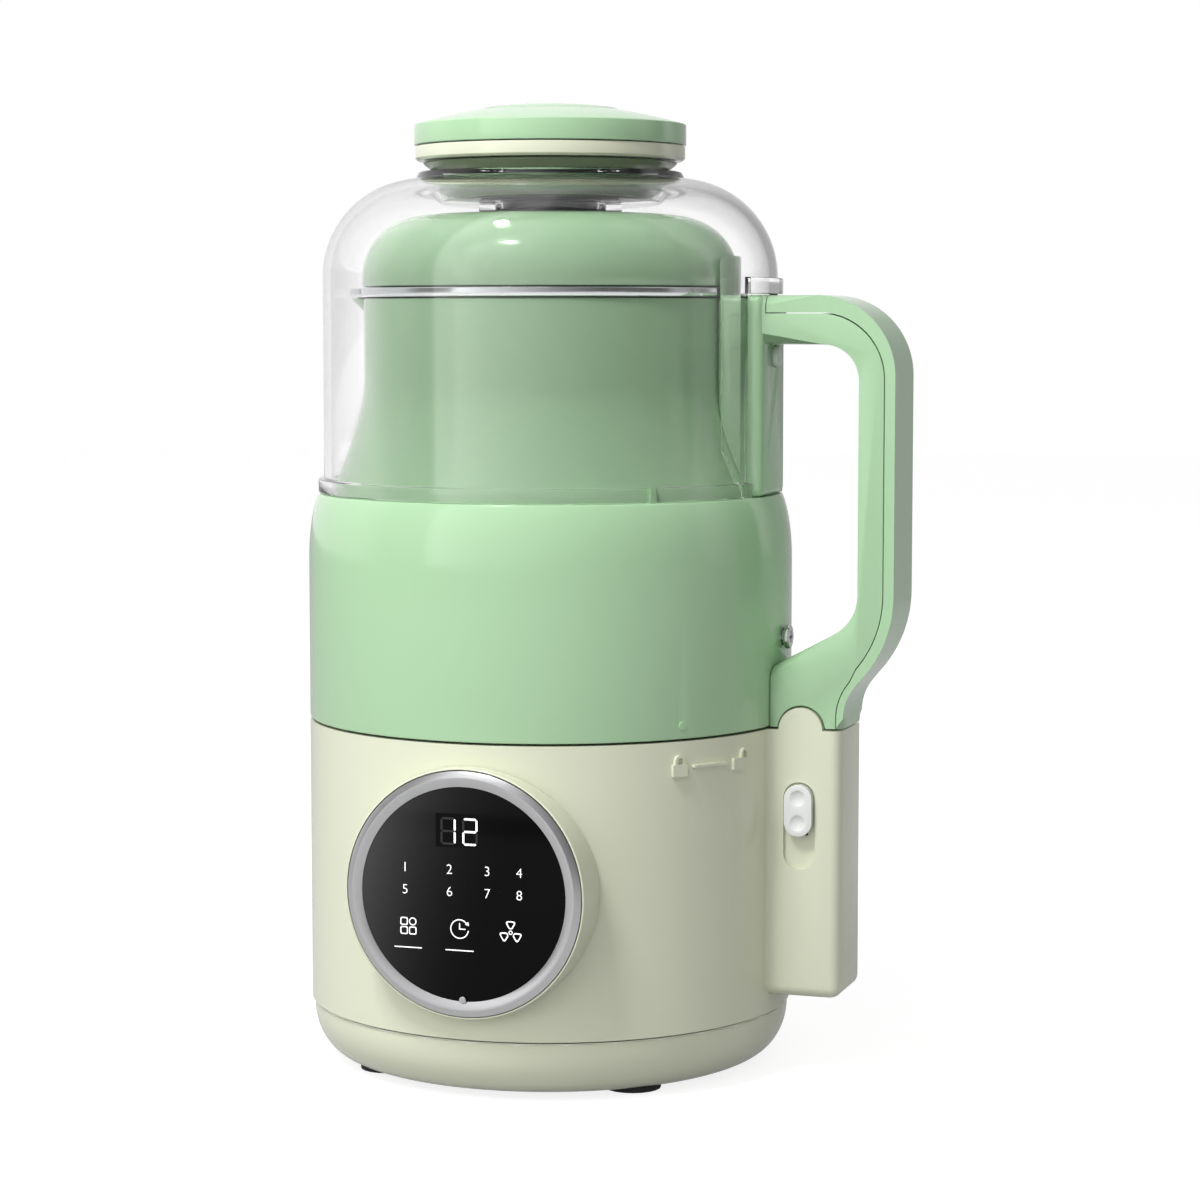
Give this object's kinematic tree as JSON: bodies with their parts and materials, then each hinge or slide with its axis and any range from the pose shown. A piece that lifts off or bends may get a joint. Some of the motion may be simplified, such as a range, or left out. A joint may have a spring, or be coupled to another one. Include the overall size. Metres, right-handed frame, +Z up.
{
  "type": "soy milk maker",
  "caption": "Countertop blender that heats: a steel-lined jug with a handle, a clear cover and a twist knob, on a round motor base with a round touch panel.",
  "frame": {"origin": "on the table, under the middle of the round body, which isn't the middle of the box around the part", "axes": "+Z up, -Y out of the control panel, +X towards the handle, -X towards the spout"},
  "size_m": [0.1745, 0.1471, 0.2756],
  "materials": {
    "green_gloss": "glossy pastel green",
    "cream_gloss": "glossy cream",
    "white_gloss": "glossy white",
    "steel": "brushed",
    "bright_metal": "polished",
    "aluminium": "cast",
    "winding": "enamelled copper wire",
    "core": "laminated core plates",
    "carbon": "pressed carbon",
    "black": "moulded, matte",
    "black_glass": "black, polished",
    "clear": "clear moulded plastic",
    "rubber": "matte",
    "grey": "moulded, matte",
    "board": "circuit board"
  },
  "bodies": {
    "base": {"base_shell": "cream_gloss", "base_deck": "cream_gloss", "bottom_pan": "cream_gloss", "foot_1": "rubber", "foot_2": "rubber", "foot_3": "rubber", "foot_4": "rubber", "panel_housing": "cream_gloss", "trim_ring": "bright_metal", "touch_glass": "black_glass", "display_module": "black", "control_board": "board", "slide_switch": "black", "contact_block": "black", "power_inlet": "black", "power_board": "board", "field_core": "core", "field_coil_left": "winding", "field_coil_right": "winding", "upper_bracket": "aluminium", "lower_bracket": "aluminium", "upper_bearing": "bright_metal", "lower_bearing": "bright_metal", "brush_holder_left": "bright_metal", "brush_holder_right": "bright_metal", "carbon_brush_left": "carbon", "carbon_brush_right": "carbon"},
    "rotor": {"motor_shaft": "steel", "drive_coupling": "black", "armature_core": "core", "upper_winding": "winding", "lower_winding": "winding", "commutator": "winding", "cooling_fan": "black"},
    "button": {"slide_button": "white_gloss"},
    "lock": {"lock_ring": "grey"},
    "jug": {"jug_jacket": "green_gloss", "steel_cup": "steel", "jug_base": "black", "heating_plate": "aluminium", "temperature_sensor": "black", "blade_bearing": "steel", "bearing_nut": "steel", "shaft_seal": "rubber", "handle_frame": "green_gloss", "handle_cover": "green_gloss", "contact_plate": "black", "screw_plug": "white_gloss", "handle_screw": "steel"},
    "blades": {"blade_shaft": "steel", "blade_cross": "steel", "blade_nut": "steel", "driven_coupling": "black"},
    "cover": {"sound_cover": "clear"},
    "knob": {"knob_cap": "green_gloss", "knob_ring": "cream_gloss", "knob_bowl": "green_gloss"},
    "lid": {"inner_lid": "green_gloss", "lid_gasket": "rubber", "steam_valve": "grey"}
  },
  "joints": [
    {"name": "motor_spin", "type": "hinge", "parent": "base", "child": "rotor", "pos_m": [0, 0, 0], "axis": [0, 0, 1], "continuous": true},
    {"name": "lock_button_slide", "type": "slide", "parent": "base", "child": "button", "axis": [0, 0, -1], "range_m": [0, 0.009]},
    {"name": "jug_twist", "type": "hinge", "parent": "base", "child": "lock", "pos_m": [0, 0, 0], "axis": [0, 0, 1], "range_deg": [0, 20]},
    {"name": "jug_lift", "type": "slide", "parent": "lock", "child": "jug", "axis": [0, 0, 1], "range_m": [0, 0.09]},
    {"name": "blade_spin", "type": "hinge", "parent": "jug", "child": "blades", "pos_m": [0, 0, 0], "axis": [0, 0, 1], "continuous": true},
    {"name": "cover_lift", "type": "slide", "parent": "jug", "child": "cover", "axis": [0, 0, 1], "range_m": [0, 0.12]},
    {"name": "knob_twist", "type": "hinge", "parent": "cover", "child": "knob", "pos_m": [0, 0, 0], "axis": [0, 0, 1], "range_deg": [-30, 0]},
    {"name": "inner_lid_twist", "type": "hinge", "parent": "cover", "child": "lid", "pos_m": [0, 0, 0], "axis": [0, 0, 1], "range_deg": [0, 30]}
  ],
  "couplings": [
    {"joint": "blade_spin", "follows": "motor_spin", "ratio": 1}
  ]
}
